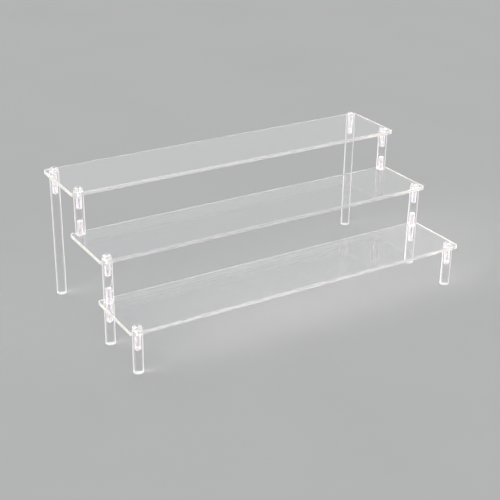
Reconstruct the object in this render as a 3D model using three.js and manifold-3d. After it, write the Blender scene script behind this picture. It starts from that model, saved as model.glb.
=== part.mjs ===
// Three-tier clear acrylic shelf riser.
//
// Three flat shelves climb up and back in equal steps, on round acrylic rods near their corners. Every
// joint is a button-head screw or a headless stud in a tapped hole in a rod's end:
//   row 0 (front)  front feet, floor to bottom shelf
//   row 1          rear feet under the bottom shelf, then middle posts up to the middle shelf, each
//                  pair joined by a stud through the bottom shelf
//   row 2          top posts, from the middle shelf up to the top shelf, each on a stud that is also
//                  screwed through the middle shelf and ends flush with its underside
//   row 3 (rear)   tall rear legs, floor to top shelf
// Millimetres, +Z up. The origin is on the floor at the centre of the footprint; +X is the long
// direction, to the right seen from the front, and +Y is towards the back.

import * as THREE from 'three';
import { mergeVertices } from 'three/addons/utils/BufferGeometryUtils.js';
import Module from 'manifold-3d';

// Driving dimensions.
const SHELF_LENGTH = 310;
const SHELF_DEPTH = 60;
const SHEET_THICKNESS = 3;
const CORNER_RADIUS = 3;
const POST_LENGTH = 34; // every short rod: feet, middle posts and top posts
const ROD_DIAMETER = 8;
const HOLE_INSET_X = 7.3; // hole centre to the shelf's end edge
const HOLE_INSET_Y = 5.3; // hole centre to the shelf's long edge

const ROD_CHAMFER = 0.4;
const THREAD_DIAMETER = 3; // screws and studs, as plain shanks
const THREAD_CLEARANCE = 0.3; // between a shank and the wall of its tapped hole, on the radius
const SHELF_HOLE_DIAMETER = 4;
const SCREW_REACH = 11; // length of thread inside a rod
const FOOT_TAPPED_DEPTH = 14.4; // full-width part of a tapped hole
const POST_TAPPED_DEPTH = 12;
const LEG_TAPPED_DEPTH = 16.8;
const DRILL_POINT = 0.9; // cone below it
const THREAD_TIP_CHAMFER = 0.4;

const HEAD_DIAMETER = 7.6;
const HEAD_HEIGHT = 2.2;
const HEAD_RIM = 0.45; // upright band round the head's lower edge
const HEAD_FLAT_DIAMETER = 3.6; // flat crown round the socket
const SOCKET_ACROSS_FLATS = 2.5;
const SOCKET_DEPTH = 1.3;

// Smoothness of round shapes.
const ROUND_SEGMENTS = 32;
const CORNER_SEGMENTS = 6;
const DOME_STEPS = 4;

// Derived layout.
const ROW_PITCH = SHELF_DEPTH - 2 * HOLE_INSET_Y; // a shelf's front holes to its rear holes
const TIER_PITCH = POST_LENGTH + SHEET_THICKNESS; // shelf to shelf, upwards
const REAR_LEG_LENGTH = 3 * POST_LENGTH + 2 * SHEET_THICKNESS;
const HOLE_X = SHELF_LENGTH / 2 - HOLE_INSET_X;
const FRONT_ROW_Y = -1.5 * ROW_PITCH; // the four rows are centred on the origin
const ROD_RADIUS = ROD_DIAMETER / 2;
const BORE_RADIUS = THREAD_DIAMETER / 2;
const SHANK_RADIUS = BORE_RADIUS - THREAD_CLEARANCE;

const rowY = (row) => FRONT_ROW_Y + row * ROW_PITCH;
const shelfTopZ = (tier) => (tier + 1) * TIER_PITCH;
const point = (x, y) => new THREE.Vector2(x, y);

const manifold = await Module();
manifold.setup();

// Materials: one clear, colourless acrylic for sheet and rod, a slightly hazier one for the fasteners.
const sheetMaterial = clearAcrylic(0xf4f7f8, 0.04, 0.25);
const rodMaterial = clearAcrylic(0xf2f4f6, 0.06, 0.35);
const fastenerMaterial = clearAcrylic(0xf3eff4, 0.18, 0.6);

function clearAcrylic(color, roughness, opacity) {
  return new THREE.MeshStandardMaterial({
    color,
    roughness,
    metalness: 0,
    transparent: true,
    opacity,
  });
}

// A closed three.js geometry as a manifold solid.
function toSolid(geometry) {
  const bare = geometry.clone();
  bare.deleteAttribute('normal');
  bare.deleteAttribute('uv');
  const merged = mergeVertices(bare, 1e-4);
  return new manifold.Manifold(
    new manifold.Mesh({
      numProp: 3,
      vertProperties: new Float32Array(merged.attributes.position.array),
      triVerts: new Uint32Array(merged.index.array),
    }),
  );
}

// A manifold solid back as a three.js geometry.
function toGeometry(solid) {
  const mesh = solid.getMesh();
  const geometry = new THREE.BufferGeometry();
  geometry.setAttribute('position', new THREE.BufferAttribute(mesh.vertProperties, 3));
  geometry.setIndex(new THREE.BufferAttribute(mesh.triVerts, 1));
  geometry.computeVertexNormals();
  return geometry;
}

// A profile of (radius, height) points turned round the Z axis. The profile runs from the axis at the
// bottom, out and up, to the axis at the top.
function turned(profile) {
  return new THREE.LatheGeometry(profile, ROUND_SEGMENTS).rotateX(Math.PI / 2);
}

// One shelf: a sheet with rounded corners and four holes, its underside at z = 0. The front holes are
// clearance holes, and the rear holes have the given diameter.
function shelfGeometry(rearHoleDiameter) {
  const halfLength = SHELF_LENGTH / 2;
  const halfDepth = SHELF_DEPTH / 2;
  const outline = new THREE.Shape();
  const quarter = Math.PI / 2;
  const corners = [
    [halfLength - CORNER_RADIUS, CORNER_RADIUS - halfDepth, -quarter],
    [halfLength - CORNER_RADIUS, halfDepth - CORNER_RADIUS, 0],
    [CORNER_RADIUS - halfLength, halfDepth - CORNER_RADIUS, quarter],
    [CORNER_RADIUS - halfLength, CORNER_RADIUS - halfDepth, 2 * quarter],
  ];
  const cornerArc = ([x, y, start]) => arc(x, y, CORNER_RADIUS, start, quarter, CORNER_SEGMENTS);
  outline.setFromPoints(corners.flatMap(cornerArc));
  const rows = [
    [-ROW_PITCH / 2, SHELF_HOLE_DIAMETER],
    [ROW_PITCH / 2, rearHoleDiameter],
  ];
  for (const x of [-HOLE_X, HOLE_X]) {
    for (const [y, diameter] of rows) {
      const hole = arc(x, y, diameter / 2, 0, 2 * Math.PI, ROUND_SEGMENTS).slice(0, -1);
      outline.holes.push(new THREE.Path(hole));
    }
  }
  return new THREE.ExtrudeGeometry(outline, { depth: SHEET_THICKNESS, bevelEnabled: false });
}

// Points along an arc, both ends included.
function arc(x, y, radius, start, sweep, steps) {
  return Array.from({ length: steps + 1 }, (_, i) => {
    const angle = start + (sweep * i) / steps;
    return point(x + radius * Math.cos(angle), y + radius * Math.sin(angle));
  });
}

// One rod standing on z = 0, chamfered at both ends, with a tapped hole in its top and, if asked,
// another in its foot. A tapped hole ends in the cone that a drill leaves.
function rodGeometry(length, tappedDepth, tappedFoot) {
  const top = [
    point(ROD_RADIUS, length - ROD_CHAMFER),
    point(ROD_RADIUS - ROD_CHAMFER, length),
    point(BORE_RADIUS, length),
    point(BORE_RADIUS, length - tappedDepth),
    point(0, length - tappedDepth - DRILL_POINT),
  ];
  const foot = top.map(({ x, y }) => point(x, length - y)).reverse();
  const solidFoot = [point(0, 0), ...foot.slice(-2)];
  return turned([...(tappedFoot ? foot : solidFoot), ...top]);
}

// A button-head screw pointing down: head above z = 0, shank below, with a hexagon socket in the crown.
function screwGeometry() {
  const headRadius = HEAD_DIAMETER / 2;
  const flatRadius = HEAD_FLAT_DIAMETER / 2;
  const tip = -SHEET_THICKNESS - SCREW_REACH;
  const dome = Array.from({ length: DOME_STEPS + 1 }, (_, i) => {
    const angle = (Math.PI / 2) * (i / DOME_STEPS);
    return point(
      flatRadius + (headRadius - flatRadius) * Math.cos(angle),
      HEAD_RIM + (HEAD_HEIGHT - HEAD_RIM) * Math.sin(angle),
    );
  });
  const body = turned([
    point(0, tip),
    point(SHANK_RADIUS - THREAD_TIP_CHAMFER, tip),
    point(SHANK_RADIUS, tip + THREAD_TIP_CHAMFER),
    point(SHANK_RADIUS, 0),
    point(headRadius, 0),
    ...dome,
    point(0, HEAD_HEIGHT),
  ]);
  const socket = new THREE.CylinderGeometry(
    SOCKET_ACROSS_FLATS / Math.sqrt(3),
    SOCKET_ACROSS_FLATS / Math.sqrt(3),
    2 * SOCKET_DEPTH,
    6,
  ).rotateX(Math.PI / 2).translate(0, 0, HEAD_HEIGHT);
  return toGeometry(toSolid(body).subtract(toSolid(socket)));
}

// A headless stud standing on z = 0, chamfered at both ends.
function studGeometry(length) {
  return turned([
    point(0, 0),
    point(SHANK_RADIUS - THREAD_TIP_CHAMFER, 0),
    point(SHANK_RADIUS, THREAD_TIP_CHAMFER),
    point(SHANK_RADIUS, length - THREAD_TIP_CHAMFER),
    point(SHANK_RADIUS - THREAD_TIP_CHAMFER, length),
    point(0, length),
  ]);
}

function piece(name, geometry, material, x, y, z) {
  const mesh = new THREE.Mesh(geometry, material);
  mesh.name = name;
  mesh.position.set(x, y, z);
  return mesh;
}

// The same piece at the left and right ends of a row.
function pair(name, geometry, material, row, z) {
  const group = new THREE.Group();
  group.position.set(0, rowY(row), z);
  group.add(piece(`${name}_left`, geometry, material, -HOLE_X, 0, 0));
  group.add(piece(`${name}_right`, geometry, material, HOLE_X, 0, 0));
  return group;
}

function shelves() {
  const plain = shelfGeometry(SHELF_HOLE_DIAMETER);
  const tapped = shelfGeometry(THREAD_DIAMETER);
  const group = new THREE.Group();
  const tiers = [['bottom_shelf', plain], ['middle_shelf', tapped], ['top_shelf', plain]];
  tiers.forEach(([name, geometry], tier) => {
    const y = (rowY(tier) + rowY(tier + 1)) / 2;
    group.add(piece(name, geometry, sheetMaterial, 0, y, shelfTopZ(tier) - SHEET_THICKNESS));
  });
  return group;
}

function rods() {
  const foot = rodGeometry(POST_LENGTH, FOOT_TAPPED_DEPTH, false);
  const post = rodGeometry(POST_LENGTH, POST_TAPPED_DEPTH, true);
  const rearLeg = rodGeometry(REAR_LEG_LENGTH, LEG_TAPPED_DEPTH, false);
  const group = new THREE.Group();
  group.add(pair('front_foot', foot, rodMaterial, 0, 0));
  group.add(pair('rear_foot', foot, rodMaterial, 1, 0));
  group.add(pair('middle_post', post, rodMaterial, 1, shelfTopZ(0)));
  group.add(pair('top_post', post, rodMaterial, 2, shelfTopZ(1)));
  group.add(pair('rear_leg', rearLeg, rodMaterial, 3, 0));
  return group;
}

function fasteners() {
  const screw = screwGeometry();
  const longStud = studGeometry(SCREW_REACH + SHEET_THICKNESS + SCREW_REACH);
  const shortStud = studGeometry(SHEET_THICKNESS + SCREW_REACH);
  const longStudFoot = shelfTopZ(0) - SHEET_THICKNESS - SCREW_REACH;
  const shortStudFoot = shelfTopZ(1) - SHEET_THICKNESS;
  const group = new THREE.Group();
  group.add(pair('bottom_front_screw', screw, fastenerMaterial, 0, shelfTopZ(0)));
  group.add(pair('bottom_rear_stud', longStud, fastenerMaterial, 1, longStudFoot));
  group.add(pair('middle_front_screw', screw, fastenerMaterial, 1, shelfTopZ(1)));
  group.add(pair('middle_rear_stud', shortStud, fastenerMaterial, 2, shortStudFoot));
  group.add(pair('top_front_screw', screw, fastenerMaterial, 2, shelfTopZ(2)));
  group.add(pair('top_rear_screw', screw, fastenerMaterial, 3, shelfTopZ(2)));
  return group;
}

const riser = new THREE.Group();
riser.add(shelves(), rods(), fasteners());

export default riser;
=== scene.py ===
"""Looks of a clear acrylic three-tier shelf riser: polished sheet and rod, tapped holes and threaded
fasteners, on a pale floor in soft studio light."""

import math

import bpy
import numpy as np
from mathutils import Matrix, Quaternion, Vector
from mathutils.geometry import tessellate_polygon


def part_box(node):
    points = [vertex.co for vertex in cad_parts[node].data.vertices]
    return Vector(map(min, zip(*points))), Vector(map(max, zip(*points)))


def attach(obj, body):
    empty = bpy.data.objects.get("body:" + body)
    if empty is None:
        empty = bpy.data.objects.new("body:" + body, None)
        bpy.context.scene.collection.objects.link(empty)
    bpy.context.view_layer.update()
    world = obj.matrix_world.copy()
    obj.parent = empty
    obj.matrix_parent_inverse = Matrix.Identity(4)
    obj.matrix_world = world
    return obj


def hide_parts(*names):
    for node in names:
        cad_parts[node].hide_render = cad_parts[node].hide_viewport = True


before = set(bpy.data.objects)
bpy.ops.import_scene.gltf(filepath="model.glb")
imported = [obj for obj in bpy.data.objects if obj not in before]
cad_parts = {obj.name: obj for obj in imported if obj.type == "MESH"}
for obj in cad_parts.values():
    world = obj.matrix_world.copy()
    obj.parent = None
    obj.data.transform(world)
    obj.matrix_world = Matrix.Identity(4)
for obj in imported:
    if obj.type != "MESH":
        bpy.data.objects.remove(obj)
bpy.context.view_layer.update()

MM = 0.001
FULL_TURN = 2 * math.pi
QUARTER_TURN = math.pi / 2
SAME_PLACE = 1e-6
SHARP_ANGLE = math.radians(55)  # edges sharper than this are shaded as edges
LARGE_FACES_LEAD = 100  # how far large faces decide the shading of the small ones next to them

# Sheet.
CORNER_RADIUS = 3.0 * MM
CORNER_STEPS = 12
SHELF_HOLE_RADIUS = 2.0 * MM
HOLE_STEPS = 64
EDGE_ROUND = 0.3 * MM  # the broken edge round each flat face
EDGE_STEPS = 4

# Rods.
ROD_STEPS = 60
END_ROUND = 0.4 * MM
END_ROUND_STEPS = 5
END_HOLLOW = 0.06 * MM  # how far a rod's faced end dips from its rim to its middle
COUNTERSINK_RADIUS = 1.8 * MM
FOOT_TAPPED_DEPTH = 14.4 * MM  # full-width part of a tapped hole
POST_TAPPED_DEPTH = 12.0 * MM
LEG_TAPPED_DEPTH = 16.8 * MM
DRILL_POINT = 0.9 * MM  # the cone below it
TAP_CLEARANCE = 0.04 * MM  # between a fastener's thread and the thread round it

# M3 thread.
PITCH = 0.5 * MM
THREAD_ROOT = 1.2 * MM
THREAD_CREST = 1.46 * MM
THREAD_TIP_RADIUS = 1.04 * MM
ROOT_FLAT = 0.25  # share of the pitch that is flat at the root
CREST_FLAT = 0.125  # and at the crest
THREAD_RINGS_PER_PITCH = 8

# Button-head screw.
FASTENER_STEPS = 48
HEAD_RIM = 0.45 * MM
HEAD_EDGE_BREAK = 0.15 * MM
CROWN_RADIUS = 1.8 * MM
DOME_STEPS = 10
NECK_RADIUS = 1.3 * MM
NECK_LENGTH = 0.8 * MM
NECK_RUN_OUT = PITCH / 4
UNDERHEAD_HOLLOW = 0.06 * MM  # how far the bearing face dips from its rim to the neck
SOCKET_ACROSS_FLATS = 2.5 * MM
SOCKET_DEPTH = 1.3 * MM
SOCKET_LEAD_IN = 0.12 * MM
SOCKET_CONE_RADIUS = 1.125 * MM  # the drill's cone in the socket's floor
SOCKET_CONE_DEPTH = 0.4 * MM

SIDES = ["left", "right"]
SHELVES = ["bottom_shelf", "middle_shelf", "top_shelf"]
SHELF_WITH_TAPPED_REAR_HOLES = "middle_shelf"
RODS = {  # each kind of rod, and the depth of its tapped holes
    "front_foot": FOOT_TAPPED_DEPTH,
    "rear_foot": FOOT_TAPPED_DEPTH,
    "middle_post": POST_TAPPED_DEPTH,
    "top_post": POST_TAPPED_DEPTH,
    "rear_leg": LEG_TAPPED_DEPTH,
}
RODS_TAPPED_BOTH_ENDS = ["middle_post", "top_post"]
SCREWS = ["bottom_front_screw", "middle_front_screw", "top_front_screw", "top_rear_screw"]
STUDS = ["bottom_rear_stud", "middle_rear_stud"]

# Places of the materials in the list that each kind of piece has.
SHEET_FACE, SHEET_LONG_EDGE, SHEET_END, SHEET_HOLE = 0, 1, 2, 3
ROD_WALL, ROD_END, ROD_THREAD, ROD_BARE_HOLE = 0, 1, 2, 3
FASTENER_HEAD, FASTENER_THREAD, FASTENER_SOCKET = 0, 1, 2


def centre_of(node):
    low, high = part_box(node)
    return (low + high) / 2


def top_of(node):
    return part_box(node)[1].z


def foot_of(node):
    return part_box(node)[0].z


FASTENER_REACH = top_of("front_foot_left") - foot_of("bottom_front_screw_left")
HEAD_HEIGHT = top_of("top_rear_screw_left") - top_of("top_shelf")
ROD_X = centre_of("rear_leg_right").x
ROW_PITCH = centre_of("rear_foot_left").y - centre_of("front_foot_left").y


# ---------------------------------------------------------------- mesh building


def finished_object(name, vertices, faces, face_slots, materials):
    """A shaded mesh object. face_slots holds each face's index into materials."""
    mesh = bpy.data.meshes.new(name)
    mesh.from_pydata([tuple(v) for v in vertices], [], faces)
    for material in materials:
        mesh.materials.append(material)
    mesh.polygons.foreach_set("material_index", np.array(face_slots, np.int32))
    mesh.polygons.foreach_set("use_smooth", np.ones(len(faces), bool))
    mesh.update()
    mesh.set_sharp_from_angle(angle=SHARP_ANGLE)
    piece = bpy.data.objects.new(name, mesh)
    bpy.context.scene.collection.objects.link(piece)
    flat_faces_stay_flat = piece.modifiers.new("weighted_normals", "WEIGHTED_NORMAL")
    flat_faces_stay_flat.keep_sharp = True
    flat_faces_stay_flat.weight = LARGE_FACES_LEAD
    return piece


def band(below, above, steps):
    """Faces between two rings of equally many vertices, given each ring's first vertex."""
    faces = []
    for i in range(steps):
        j = (i + 1) % steps
        faces.append((below + i, below + j, above + j, above + i))
    return faces


def turned_object(name, centre, rings, steps, materials):
    """A body of revolution. rings run along the profile from its lower pole to its upper pole, each
    as (radius, height, slot): radius may be one number or one for each angle, and slot is the
    material of the band above it."""
    angles = angle_steps(steps)
    directions = np.stack([np.cos(angles), np.sin(angles)], axis=1)
    (_, lower_pole, lowest_slot), (_, upper_pole, _) = rings[0], rings[-1]
    vertices = [np.array([[centre.x, centre.y, lower_pole]])]
    for radius, height, _ in rings[1:-1]:
        ring = np.empty((steps, 3))
        ring[:, :2] = directions * np.broadcast_to(radius, steps)[:, None] + [centre.x, centre.y]
        ring[:, 2] = height
        vertices.append(ring)
    vertices.append(np.array([[centre.x, centre.y, upper_pole]]))
    following = [(i + 1) % steps for i in range(steps)]
    faces = [(0, 1 + following[i], 1 + i) for i in range(steps)]
    slots = [lowest_slot] * steps
    first = 1
    for _, _, slot in rings[1:-2]:
        faces += band(first, first + steps, steps)
        slots += [slot] * steps
        first += steps
    last_vertex = first + steps
    faces += [(first + i, first + following[i], last_vertex) for i in range(steps)]
    slots += [rings[-2][2]] * steps
    return finished_object(name, np.concatenate(vertices), faces, slots, materials)


def angle_steps(steps):
    return np.arange(steps) * FULL_TURN / steps


def thread_radius(steps, height):
    """Radius, at each angle, of a right-hand thread that every fastener and tapped hole shares."""
    phase = (height / PITCH - angle_steps(steps) / FULL_TURN) % 1.0
    ridge = 1.0 - np.abs(2.0 * phase - 1.0)
    ridge = np.clip((ridge - ROOT_FLAT) / (1.0 - CREST_FLAT - ROOT_FLAT), 0.0, 1.0)
    return THREAD_ROOT + (THREAD_CREST - THREAD_ROOT) * ridge


def thread_heights(start, end):
    count = max(2, round(abs(end - start) / PITCH * THREAD_RINGS_PER_PITCH))
    return np.linspace(start, end, count + 1)


# ---------------------------------------------------------------- shelves


def rounded_rectangle(low, high, inset):
    """Points of the shelf's outline, anticlockwise, moved inwards by inset."""
    radius = CORNER_RADIUS - inset
    points = []
    corners = [(high.x, low.y, -1), (high.x, high.y, 0), (low.x, high.y, 1), (low.x, low.y, 2)]
    for x, y, quarter in corners:
        centre_x = x - math.copysign(CORNER_RADIUS, x - (low.x + high.x) / 2)
        centre_y = y - math.copysign(CORNER_RADIUS, y - (low.y + high.y) / 2)
        for step in range(CORNER_STEPS + 1):
            angle = (quarter + step / CORNER_STEPS) * QUARTER_TURN
            points.append(
                (centre_x + radius * math.cos(angle), centre_y + radius * math.sin(angle))
            )
    return points


def circle(x, y, radius):
    """Points of a hole's rim, clockwise."""
    return [(x + radius * math.cos(a), y - radius * math.sin(a)) for a in angle_steps(HOLE_STEPS)]


def edge_levels(low_z, high_z):
    """(inset, height) up a sheet's edge: rounded, straight, rounded."""
    levels = []
    for step in range(EDGE_STEPS + 1):
        angle = QUARTER_TURN * step / EDGE_STEPS
        inset = EDGE_ROUND * (1 - math.sin(angle))
        rise = EDGE_ROUND * (1 - math.cos(angle))
        levels.append((inset, low_z + rise))
    return levels + [(inset, low_z + high_z - z) for inset, z in reversed(levels)]


def hole_places(node):
    """(x, y, radius) of a shelf's four holes."""
    middle = centre_of(node).y
    tapped = node == SHELF_WITH_TAPPED_REAR_HOLES
    rear_radius = THREAD_CREST + TAP_CLEARANCE if tapped else SHELF_HOLE_RADIUS
    rows = (
        (middle - ROW_PITCH / 2, SHELF_HOLE_RADIUS),
        (middle + ROW_PITCH / 2, rear_radius),
    )
    return [(x, y, radius) for x in (-ROD_X, ROD_X) for y, radius in rows]


def outline_slots(ring):
    """The finish of each stretch of a shelf's outline: the strip's long edges were polished, then it
    was cut to length and its corners were rounded."""
    slots = []
    for start, end in zip(ring, ring[1:] + ring[:1]):
        runs_along_the_shelf = abs(end[1] - start[1]) < SAME_PLACE
        slots.append(SHEET_LONG_EDGE if runs_along_the_shelf else SHEET_END)
    return slots


def shelf_object(node, materials):
    """A shelf with rounded corners, broken edges and four drilled holes."""
    low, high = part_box(node)
    levels = edge_levels(low.z, high.z)
    walls = [[rounded_rectangle(low, high, inset) for inset, _ in levels]]
    for x, y, radius in hole_places(node):
        walls.append([circle(x, y, radius + inset) for inset, _ in levels])
    vertices, faces, slots = [], [], []
    bottom_rims, top_rims = [], []
    for rings in walls:
        steps = len(rings[0])
        ring_slots = outline_slots(rings[0]) if rings is walls[0] else [SHEET_HOLE] * steps
        first = len(vertices)
        bottom_rims.append(range(first, first + steps))
        for ring, (_, z) in zip(rings, levels):
            vertices += [(x, y, z) for x, y in ring]
        for _ in range(len(levels) - 1):
            faces += band(first, first + steps, steps)
            slots += ring_slots
            first += steps
        top_rims.append(range(first, first + steps))
    for rims, up in ((bottom_rims, False), (top_rims, True)):
        triangles = flat_cap(vertices, rims, up)
        faces += triangles
        slots += [SHEET_FACE] * len(triangles)
    return finished_object(f"acrylic_{node}", vertices, faces, slots, materials)


def flat_cap(vertices, rims, up):
    """Triangles that fill the first rim, leaving the others open, facing up or down."""
    order = [index for rim in rims for index in rim]
    triangles = []
    for corners in tessellate_polygon([[Vector(vertices[i]) for i in rim] for rim in rims]):
        a, b, c = (order[i] for i in corners)
        (ax, ay, _), (bx, by, _), (cx, cy, _) = vertices[a], vertices[b], vertices[c]
        anticlockwise = (bx - ax) * (cy - ay) - (by - ay) * (cx - ax) > 0
        triangles.append((a, b, c) if anticlockwise == up else (a, c, b))
    return triangles


# ---------------------------------------------------------------- rods


def faced_end_rings(radius, mouth, inwards):
    """Rings from a rod's wall over an end's rounded rim. inwards is the direction along Z from the
    mouth into the rod: 1 or -1."""
    rings = []
    for step in range(END_ROUND_STEPS + 1):
        angle = QUARTER_TURN * step / END_ROUND_STEPS
        rings.append((
            radius - END_ROUND * (1 - math.cos(angle)),
            mouth + inwards * END_ROUND * (1 - math.sin(angle)),
            ROD_END,
        ))
    return rings


def tapped_hole_rings(mouth, inwards, tapped_depth):
    """Rings from a tapped hole's countersink, in an end that is faced slightly hollow, to its drilled
    point. Beyond the fastener's tip the hole is bare."""
    start = mouth + inwards * END_HOLLOW
    bottom = mouth + inwards * tapped_depth
    rings = [(COUNTERSINK_RADIUS, start, ROD_THREAD)]
    for height in thread_heights(start, bottom)[1:]:
        depth = abs(height - mouth)
        wall = thread_radius(ROD_STEPS, height) + TAP_CLEARANCE
        wall = np.maximum(wall, COUNTERSINK_RADIUS - depth)
        run_out = min(1.0, (tapped_depth - depth) / PITCH)
        wall = THREAD_ROOT + (wall - THREAD_ROOT) * run_out
        rings.append((wall, height, ROD_THREAD if depth < FASTENER_REACH else ROD_BARE_HOLE))
    rings.append((0.0, bottom + inwards * DRILL_POINT, ROD_BARE_HOLE))
    return rings


def rod_end_rings(radius, mouth, inwards, tapped_depth):
    """Rings over a rod's end and into its tapped hole, or to its centre where tapped_depth is 0."""
    rings = faced_end_rings(radius, mouth, inwards)
    if tapped_depth:
        return rings + tapped_hole_rings(mouth, inwards, tapped_depth)
    return rings + [(0.0, mouth + inwards * END_HOLLOW, ROD_END)]


def reversed_rings(rings):
    """Rings in the opposite order, each slot again that of the band above its ring."""
    order = rings[::-1]
    slots = [slot for _, _, slot in order[1:]] + [order[-1][2]]
    return [(radius, height, slot) for (radius, height, _), slot in zip(order, slots)]


def rod_object(node, top_depth, foot_depth, materials):
    low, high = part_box(node)
    radius = (high.x - low.x) / 2
    foot = reversed_rings(rod_end_rings(radius, low.z, 1, foot_depth))
    _, foot_rim, _ = foot.pop()
    top = rod_end_rings(radius, high.z, -1, top_depth)
    rings = foot + [(radius, foot_rim, ROD_WALL)] + top
    return turned_object(f"acrylic_{node}", centre_of(node), rings, ROD_STEPS, materials)


# ---------------------------------------------------------------- fasteners


def hexagon_radius(across_flats):
    """Radius at each angle of a hexagon whose corners fall on the mesh's angles."""
    sixth = FULL_TURN / 6
    from_flat = angle_steps(FASTENER_STEPS) % sixth - sixth / 2
    return across_flats / 2 / np.cos(from_flat)


def threaded_rings(start, end, tips):
    """Thread from one height to another, tapered at each height in tips."""
    rings = []
    for height in thread_heights(start, end):
        radius = thread_radius(FASTENER_STEPS, height)
        for tip in tips:
            radius = np.minimum(radius, THREAD_TIP_RADIUS + abs(height - tip))
        rings.append((radius, height, FASTENER_THREAD))
    return rings


def neck_rings(bearing, head_radius):
    """A screw's neck and its bearing face, which is slightly hollow."""
    return [
        (NECK_RADIUS, bearing - NECK_LENGTH + NECK_RUN_OUT, FASTENER_HEAD),
        (NECK_RADIUS, bearing + UNDERHEAD_HOLLOW, FASTENER_HEAD),
        (head_radius - HEAD_EDGE_BREAK, bearing, FASTENER_HEAD),
        (head_radius, bearing + HEAD_EDGE_BREAK, FASTENER_HEAD),
    ]


def dome_rings(bearing, head_radius):
    rings = []
    for step in range(DOME_STEPS + 1):
        angle = QUARTER_TURN * step / DOME_STEPS
        rings.append((
            CROWN_RADIUS + (head_radius - CROWN_RADIUS) * math.cos(angle),
            bearing + HEAD_RIM + (HEAD_HEIGHT - HEAD_RIM) * math.sin(angle),
            FASTENER_HEAD,
        ))
    return rings


def socket_rings(crown):
    """A hexagon socket with a lead-in at its mouth and a drill's cone in its floor."""
    floor = crown - SOCKET_DEPTH
    mouth = hexagon_radius(SOCKET_ACROSS_FLATS + 2 * SOCKET_LEAD_IN)
    walls = hexagon_radius(SOCKET_ACROSS_FLATS)
    return [
        (mouth, crown, FASTENER_SOCKET),
        (walls, crown - SOCKET_LEAD_IN, FASTENER_SOCKET),
        (walls, floor, FASTENER_SOCKET),
        (SOCKET_CONE_RADIUS, floor, FASTENER_SOCKET),
        (0.0, floor - SOCKET_CONE_DEPTH, FASTENER_SOCKET),
    ]


def screw_object(node, materials):
    """A button-head screw, head up."""
    low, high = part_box(node)
    head_radius = (high.x - low.x) / 2
    bearing = high.z - HEAD_HEIGHT
    rings = [(0.0, low.z, FASTENER_THREAD)]
    rings += threaded_rings(low.z, bearing - NECK_LENGTH, [low.z])
    rings += neck_rings(bearing, head_radius)
    rings += dome_rings(bearing, head_radius)
    rings += socket_rings(high.z)
    return turned_object(f"clear_{node}", centre_of(node), rings, FASTENER_STEPS, materials)


def stud_object(node, materials):
    low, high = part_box(node)
    rings = [(0.0, low.z, FASTENER_THREAD)]
    rings += threaded_rings(low.z, high.z, [low.z, high.z])
    rings.append((0.0, high.z, FASTENER_THREAD))
    return turned_object(f"clear_{node}", centre_of(node), rings, FASTENER_STEPS, materials)


# ---------------------------------------------------------------- materials


class Nodes:
    """Short calls for building the node tree of a new material, or of the world."""

    def __init__(self, owner):
        self.owner = bpy.data.materials.new(owner) if isinstance(owner, str) else owner
        self.owner.use_nodes = True
        self.tree = self.owner.node_tree
        self.tree.nodes.clear()
        coordinates = self.add("ShaderNodeTexCoord")
        self.coordinates = coordinates.outputs["Object"]
        self.generated = coordinates.outputs["Generated"]

    def add(self, kind, inputs=None, **settings):
        node = self.tree.nodes.new(kind)
        for key, value in settings.items():
            setattr(node, key, value)
        for key, value in (inputs or {}).items():
            if isinstance(value, bpy.types.NodeSocket):
                self.tree.links.new(value, node.inputs[key])
            else:
                node.inputs[key].default_value = value
        return node

    def noise(self, stretch, scale, detail=2.0, roughness=0.5):
        """Noise between 0 and 1. stretch scales each axis before the noise's own scale, in 1/m."""
        mapping = self.add("ShaderNodeMapping", {"Vector": self.coordinates, "Scale": stretch})
        texture = self.add(
            "ShaderNodeTexNoise",
            {
                "Vector": mapping.outputs["Vector"],
                "Scale": scale,
                "Detail": detail,
                "Roughness": roughness,
            },
        )
        return texture.outputs["Fac"]

    def ranged(self, value, low, high, from_low=0.3, from_high=0.7):
        """value carried from its own range to the range from low to high."""
        node = self.add(
            "ShaderNodeMapRange",
            {
                "Value": value,
                "From Min": from_low,
                "From Max": from_high,
                "To Min": low,
                "To Max": high,
            },
        )
        return node.outputs["Result"]

    def colours(self, value, first, second):
        node = self.add("ShaderNodeMix", {"Factor": value}, data_type="RGBA")
        node.inputs["A"].default_value = (*first, 1)
        node.inputs["B"].default_value = (*second, 1)
        return node.outputs["Result"]

    def mix(self, share, first, second):
        """A shader that is first, and second for the given share."""
        return self.add(
            "ShaderNodeMixShader", {0: share, 1: first.outputs[0], 2: second.outputs[0]}
        )

    def sum(self, first, second):
        return self.add("ShaderNodeMath", {0: first, 1: second}, operation="ADD").outputs[0]

    def scaled(self, value, factor):
        return self.add("ShaderNodeMath", {0: value, 1: factor}, operation="MULTIPLY").outputs[0]

    def bump(self, height, distance):
        node = self.add("ShaderNodeBump", {"Height": height, "Distance": distance})
        return node.outputs["Normal"]


ACRYLIC_IOR = 1.49
FROST_WHITE = (0.98, 0.975, 0.97, 1)
FROST_MAUVE = (0.97, 0.94, 0.98, 1)
FROST_IVORY = (0.99, 0.97, 0.93, 1)


def grey(level):
    return (level, level, level, 1)


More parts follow.
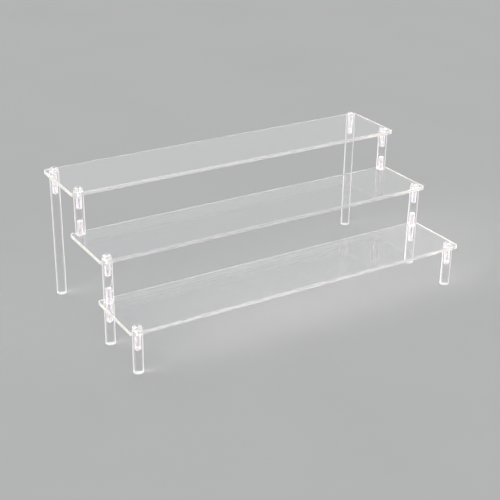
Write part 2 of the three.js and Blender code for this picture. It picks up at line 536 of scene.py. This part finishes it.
def clear_plastic(
    nodes, colour, roughness, normal, lets_through, frost=0.0, rim_frost_and_painted_sheen=0.0, frost_colour=FROST_WHITE
):
    """Clear plastic. frost is the share of the light that its surface scatters, half of it back and
    half through, and rim_frost_and_painted_sheen is how much more it scatters where it is seen at a
    glance: partly real haze, and partly a painted rim sheen that whitens the rims in place of bright
    reflections.
    lets_through is the share of a lamp's light that passes it, so that its shadows are light."""
    clear = nodes.add(
        "ShaderNodeBsdfPrincipled",
        {
            "Base Color": colour,
            "Roughness": roughness,
            "Normal": normal,
            "IOR": ACRYLIC_IOR,
            "Transmission Weight": 1.0,
        },
    )
    scatter = {"Color": frost_colour, "Normal": normal}
    scattered_back = nodes.add("ShaderNodeBsdfDiffuse", scatter)
    scattered_through = nodes.add("ShaderNodeBsdfTranslucent", scatter)
    scattered = nodes.mix(0.5, scattered_back, scattered_through)
    # Whiter where seen at a glance: partly haze, partly a painted rim sheen.
    glance = nodes.add("ShaderNodeLayerWeight").outputs["Facing"]
    share = nodes.sum(nodes.ranged(glance, 0.0, rim_frost_and_painted_sheen, from_low=0.2, from_high=0.8), frost)
    seen = nodes.mix(share, clear, scattered)
    light_through = nodes.add("ShaderNodeBsdfTransparent", {"Color": grey(lets_through)})
    shadow_ray = nodes.add("ShaderNodeLightPath").outputs["Is Shadow Ray"]
    surface = nodes.mix(shadow_ray, seen, light_through)
    nodes.add("ShaderNodeOutputMaterial", {"Surface": surface.outputs[0]})
    return nodes.owner


def polished_face():
    """A sheet's flat face: glossy, with a slow ripple, faint wipe marks and hairline scratches."""
    nodes = Nodes("sheet_polished_face")
    wipes = nodes.noise((1, 3, 1), scale=14, detail=4)
    hairlines = nodes.noise((0.4, 14, 1), scale=220, detail=3, roughness=0.7)
    roughness = nodes.sum(
        nodes.ranged(wipes, 0.002, 0.012),
        nodes.ranged(hairlines, 0.0, 0.01, from_low=0.55, from_high=0.75),
    )
    ripple = nodes.noise((1, 1.6, 1), scale=12, detail=1)
    normal = nodes.bump(nodes.sum(ripple, nodes.scaled(hairlines, 0.003)), 0.02 * MM)
    colour = nodes.colours(wipes, (0.985, 0.99, 0.992), (0.995, 0.998, 1.0))
    return clear_plastic(nodes, colour, roughness, normal, lets_through=0.975)


def long_edge():
    """A sheet's long edge: machined and flame polished, with fine lines left along its length."""
    nodes = Nodes("sheet_long_edge")
    lines = nodes.noise((0.03, 0.03, 1), scale=2600)
    waves = nodes.noise((1, 1, 0.3), scale=120)
    roughness = nodes.ranged(lines, 0.08, 0.2)
    normal = nodes.bump(nodes.sum(nodes.scaled(lines, 0.4), waves), 0.015 * MM)
    colour = nodes.colours(waves, (0.95, 0.95, 0.955), (0.99, 0.99, 0.99))
    frost = nodes.ranged(lines, 0.2, 0.42)
    return clear_plastic(nodes, colour, roughness, normal, lets_through=0.94, frost=frost)


def sawn_end():
    """A sheet's short end: cut to length and sanded, so it is satin white with faint ribs up it."""
    nodes = Nodes("sheet_sawn_end")
    ribs = nodes.noise((1, 1, 0.06), scale=2200, detail=3)
    normal = nodes.bump(ribs, 0.015 * MM)
    colour = nodes.colours(ribs, (0.95, 0.94, 0.92), (0.99, 0.985, 0.97))
    frost = nodes.ranged(ribs, 0.62, 0.7)
    roughness = nodes.ranged(ribs, 0.2, 0.35)
    return clear_plastic(
        nodes, colour, roughness, normal, lets_through=0.94, frost=frost, frost_colour=FROST_IVORY
    )


def drilled_wall():
    """A hole's wall in a sheet: frosted, with the drill's turning marks."""
    nodes = Nodes("sheet_drilled_wall")
    marks = nodes.noise((0.15, 0.15, 1), scale=3000)
    normal = nodes.bump(marks, 0.03 * MM)
    colour = nodes.colours(marks, (0.9, 0.89, 0.91), (0.98, 0.975, 0.985))
    roughness = nodes.ranged(marks, 0.2, 0.35)
    return clear_plastic(nodes, colour, roughness, normal, lets_through=0.95, frost=0.2)


def rod_wall():
    """A rod's round wall: polished, with the long faint lines that extrusion draws along it."""
    nodes = Nodes("rod_polished_wall")
    draw_lines = nodes.noise((1, 1, 0.02), scale=900)
    handling = nodes.noise((1, 1, 1), scale=90, detail=4)
    roughness = nodes.sum(
        nodes.ranged(handling, 0.006, 0.03),
        nodes.ranged(draw_lines, 0.0, 0.02, from_low=0.5, from_high=0.75),
    )
    normal = nodes.bump(draw_lines, 0.01 * MM)
    colour = nodes.colours(handling, (0.985, 0.985, 0.99), (0.998, 0.998, 1.0))
    # The rim frost whitens the rod's rims: partly haze, partly a painted rim sheen in place of bright
    # reflections.
    return clear_plastic(nodes, colour, roughness, normal, lets_through=0.965, rim_frost_and_painted_sheen=0.7)


def rod_end():
    """A rod's faced end: fine turning marks, then polished."""
    nodes = Nodes("rod_faced_end")
    marks = nodes.noise((1, 1, 1), scale=1800, detail=3)
    normal = nodes.bump(marks, 0.02 * MM)
    colour = nodes.colours(marks, (0.97, 0.97, 0.975), (0.995, 0.995, 0.995))
    roughness = nodes.ranged(marks, 0.05, 0.15)
    return clear_plastic(nodes, colour, roughness, normal, lets_through=0.95, frost=0.28)


def tapped_wall():
    """A tapped hole's wall: cut thread, clearer face on than at a glance."""
    nodes = Nodes("rod_tapped_wall_painted_shade")
    tears = nodes.noise((1, 1, 2), scale=1500, detail=4, roughness=0.7)
    normal = nodes.bump(tears, 0.04 * MM)
    # A mauve grey far darker than the clear rod: painted shade inside the tapped hole, between
    # fastener and rod.
    colour = nodes.colours(tears, (0.7, 0.66, 0.71), (0.88, 0.86, 0.89))
    roughness = nodes.ranged(tears, 0.15, 0.35)
    return clear_plastic(
        nodes,
        colour,
        roughness,
        normal,
        lets_through=0.97,
        frost=0.03,
        rim_frost_and_painted_sheen=0.6,
        frost_colour=FROST_MAUVE,
    )


def bare_hole():
    """A tapped hole beyond its fastener's tip: empty, so the torn thread shows white."""
    nodes = Nodes("rod_bare_hole_painted_shade")
    tears = nodes.noise((1, 1, 2), scale=1500, detail=4, roughness=0.7)
    normal = nodes.bump(tears, 0.04 * MM)
    # A mauve grey far darker than the clear rod: painted shade in the empty hole.
    colour = nodes.colours(tears, (0.7, 0.66, 0.71), (0.9, 0.88, 0.91))
    frost = nodes.ranged(tears, 0.06, 0.24)
    roughness = nodes.ranged(tears, 0.2, 0.4)
    return clear_plastic(
        nodes,
        colour,
        roughness,
        normal,
        lets_through=0.97,
        frost=frost,
        rim_frost_and_painted_sheen=0.6,
        frost_colour=FROST_MAUVE,
    )


def moulded_head():
    """A screw's head: clear moulded plastic with a slight haze and flow marks."""
    nodes = Nodes("fastener_moulded_head")
    flow = nodes.noise((1, 1, 1), scale=500, detail=3)
    normal = nodes.bump(flow, 0.02 * MM)
    colour = nodes.colours(flow, (0.93, 0.92, 0.94), (0.99, 0.985, 0.995))
    frost = nodes.ranged(flow, 0.03, 0.12)
    roughness = nodes.ranged(flow, 0.02, 0.08)
    return clear_plastic(
        nodes, colour, roughness, normal, lets_through=0.93, frost=frost, rim_frost_and_painted_sheen=0.25
    )


def moulded_thread():
    """A fastener's thread: the same plastic, milkier where it is pressed into the rod."""
    nodes = Nodes("fastener_moulded_thread_painted_shade")
    pressed = nodes.noise((1, 1, 0.35), scale=1100, detail=3)
    normal = nodes.bump(pressed, 0.03 * MM)
    # A mauve grey far darker than the head: painted shade on the thread, where it sits inside the rod.
    colour = nodes.colours(pressed, (0.58, 0.54, 0.59), (0.85, 0.82, 0.86))
    roughness = nodes.ranged(pressed, 0.15, 0.35)
    frost = nodes.ranged(pressed, 0.02, 0.16)
    return clear_plastic(
        nodes,
        colour,
        roughness,
        normal,
        lets_through=0.92,
        frost=frost,
        rim_frost_and_painted_sheen=0.6,
        frost_colour=FROST_MAUVE,
    )


def socket_painted_shade():
    """The walls and floor of a screw's socket: the same plastic, coloured darker as painted shade in
    the recess, where less light comes back out.
    """
    nodes = Nodes("fastener_socket_painted_shade")
    flow = nodes.noise((1, 1, 1), scale=700, detail=3)
    normal = nodes.bump(flow, 0.02 * MM)
    # Darker than the head: painted shade in the socket.
    colour = nodes.colours(flow, (0.6, 0.58, 0.62), (0.72, 0.7, 0.74))
    roughness = nodes.ranged(flow, 0.05, 0.12)
    return clear_plastic(
        nodes, colour, roughness, normal, lets_through=0.93, frost=0.02, rim_frost_and_painted_sheen=0.1
    )


def floor_material():
    """A matt pale floor, with faint mottling and grain."""
    nodes = Nodes("floor_pale")
    mottling = nodes.noise((1, 1, 1), scale=6, detail=4)
    grain = nodes.noise((1, 1, 1), scale=700)
    body = nodes.add(
        "ShaderNodeBsdfPrincipled",
        {
            "Base Color": nodes.colours(mottling, (0.193, 0.196, 0.2), (0.205, 0.208, 0.212)),
            "Roughness": 0.9,
            "Specular IOR Level": 0.0,
            "Normal": nodes.bump(grain, 0.02 * MM),
        },
    )
    nodes.add("ShaderNodeOutputMaterial", {"Surface": body.outputs[0]})
    return nodes.owner


# ---------------------------------------------------------------- the riser


def place(piece, node):
    """piece stands for a CAD node and moves with the riser."""
    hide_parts(node)
    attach(piece, "root")


def build_riser():
    sheet_materials = [polished_face(), long_edge(), sawn_end(), drilled_wall()]
    rod_materials = [rod_wall(), rod_end(), tapped_wall(), bare_hole()]
    fastener_materials = [moulded_head(), moulded_thread(), socket_painted_shade()]
    for node in SHELVES:
        place(shelf_object(node, sheet_materials), node)
    for side in SIDES:
        for name, depth in RODS.items():
            node = f"{name}_{side}"
            foot_depth = depth if name in RODS_TAPPED_BOTH_ENDS else 0
            place(rod_object(node, depth, foot_depth, rod_materials), node)
        for name in SCREWS:
            node = f"{name}_{side}"
            place(screw_object(node, fastener_materials), node)
        for name in STUDS:
            node = f"{name}_{side}"
            place(stud_object(node, fastener_materials), node)


# ---------------------------------------------------------------- studio

FLOOR_SIZE = 40.0

# Brightness of the studio's surroundings against the sine of the elevation.
SURROUNDINGS = [(0.0, 0.45), (0.25, 0.7), (0.42, 0.85), (0.7, 1.0), (1.0, 1.4)]

WARM_WHITE = (1.0, 0.965, 0.91)
COOL_WHITE = (0.97, 0.98, 1.0)
NEUTRAL_WHITE = (1.0, 1.0, 1.0)

CAMERA_AZIMUTH = -31.6
CAMERA_ELEVATION = 25.1
CAMERA_ROLL = 0.87
CAMERA_DISTANCE = 0.877
CAMERA_LENS = 78.4
SENSOR_WIDTH = 36
# The point in the middle of the picture, from the centre of the riser's footprint.
CAMERA_TARGET = Vector((-26.7, -33.1, 55.5)) * MM

MOST_BOUNCES = 64


def build_floor():
    half = FLOOR_SIZE / 2
    corners = [(-half, -half, 0), (half, -half, 0), (half, half, 0), (-half, half, 0)]
    mesh = bpy.data.meshes.new("floor")
    mesh.from_pydata(corners, [], [(0, 1, 2, 3)])
    mesh.materials.append(floor_material())
    floor = bpy.data.objects.new("floor", mesh)
    bpy.context.scene.collection.objects.link(floor)


def build_world():
    world = bpy.data.worlds.new("studio")
    bpy.context.scene.world = world
    world.cycles.sampling_method = "NONE"
    nodes = Nodes(world)
    height = nodes.add("ShaderNodeSeparateXYZ", {0: nodes.generated}).outputs["Z"]
    ramp = nodes.add("ShaderNodeValToRGB", {"Fac": height})
    brightest = max(level for _, level in SURROUNDINGS)
    stops = ramp.color_ramp.elements
    while len(stops) < len(SURROUNDINGS):
        stops.new(0.5)
    for stop, (position, level) in zip(stops, SURROUNDINGS):
        stop.position = position
        stop.color = grey(level / brightest)
    light = nodes.add(
        "ShaderNodeBackground", {"Color": ramp.outputs["Color"], "Strength": brightest}
    )
    nodes.add("ShaderNodeOutputWorld", {"Surface": light.outputs[0]})


def direction_to(azimuth, elevation):
    """Azimuth 0 is in front and 90 is on the right."""
    a, e = math.radians(azimuth), math.radians(elevation)
    return Vector((math.sin(a) * math.cos(e), -math.cos(a) * math.cos(e), math.sin(e)))


def soft_lamp(name, azimuth, elevation, spread, strength, colour, mirrored=True):
    """A broad lamp so far off that it lights the whole floor alike. spread is how wide the lamp looks,
    in degrees, and strength is in W/m2."""
    lamp = bpy.data.lights.new(name, "SUN")
    lamp.angle = math.radians(spread)
    lamp.energy = strength
    lamp.color = colour
    holder = bpy.data.objects.new(name, lamp)
    bpy.context.scene.collection.objects.link(holder)
    holder.rotation_mode = "QUATERNION"
    holder.rotation_quaternion = (-direction_to(azimuth, elevation)).to_track_quat("-Z", "Y")
    holder.visible_camera = False
    holder.visible_transmission = False
    holder.visible_glossy = mirrored


def build_lights():
    soft_lamp("left_lamp", -100, 38, spread=26, strength=3.3, colour=WARM_WHITE)
    soft_lamp("right_lamp", 68, 36, spread=24, strength=1.3, colour=COOL_WHITE)
    soft_lamp("back_lamp", 185, 35, spread=28, strength=0.5, colour=NEUTRAL_WHITE, mirrored=False)
    soft_lamp("top_lamp", 150, 75, spread=32, strength=0.9, colour=NEUTRAL_WHITE)


def build_camera():
    camera = bpy.data.cameras.new("camera")
    camera.sensor_width = SENSOR_WIDTH
    camera.lens = CAMERA_LENS
    camera.clip_start = 0.01
    camera.clip_end = 100
    holder = bpy.data.objects.new("camera", camera)
    bpy.context.scene.collection.objects.link(holder)
    back = direction_to(CAMERA_AZIMUTH, CAMERA_ELEVATION)
    holder.location = CAMERA_TARGET + back * CAMERA_DISTANCE
    holder.rotation_mode = "QUATERNION"
    roll = Quaternion((0, 0, 1), math.radians(CAMERA_ROLL))
    holder.rotation_quaternion = (-back).to_track_quat("-Z", "Y") @ roll
    bpy.context.scene.camera = holder


def set_up_light_paths():
    """Enough bounces for light to travel along inside a sheet, and plain colours."""
    scene = bpy.context.scene
    scene.cycles.max_bounces = MOST_BOUNCES
    scene.cycles.transmission_bounces = MOST_BOUNCES
    scene.cycles.glossy_bounces = MOST_BOUNCES
    scene.cycles.transparent_max_bounces = MOST_BOUNCES
    scene.cycles.caustics_reflective = False
    scene.cycles.use_denoising = True
    scene.view_settings.view_transform = "Standard"


build_riser()
build_floor()
build_world()
build_lights()
build_camera()
set_up_light_paths()
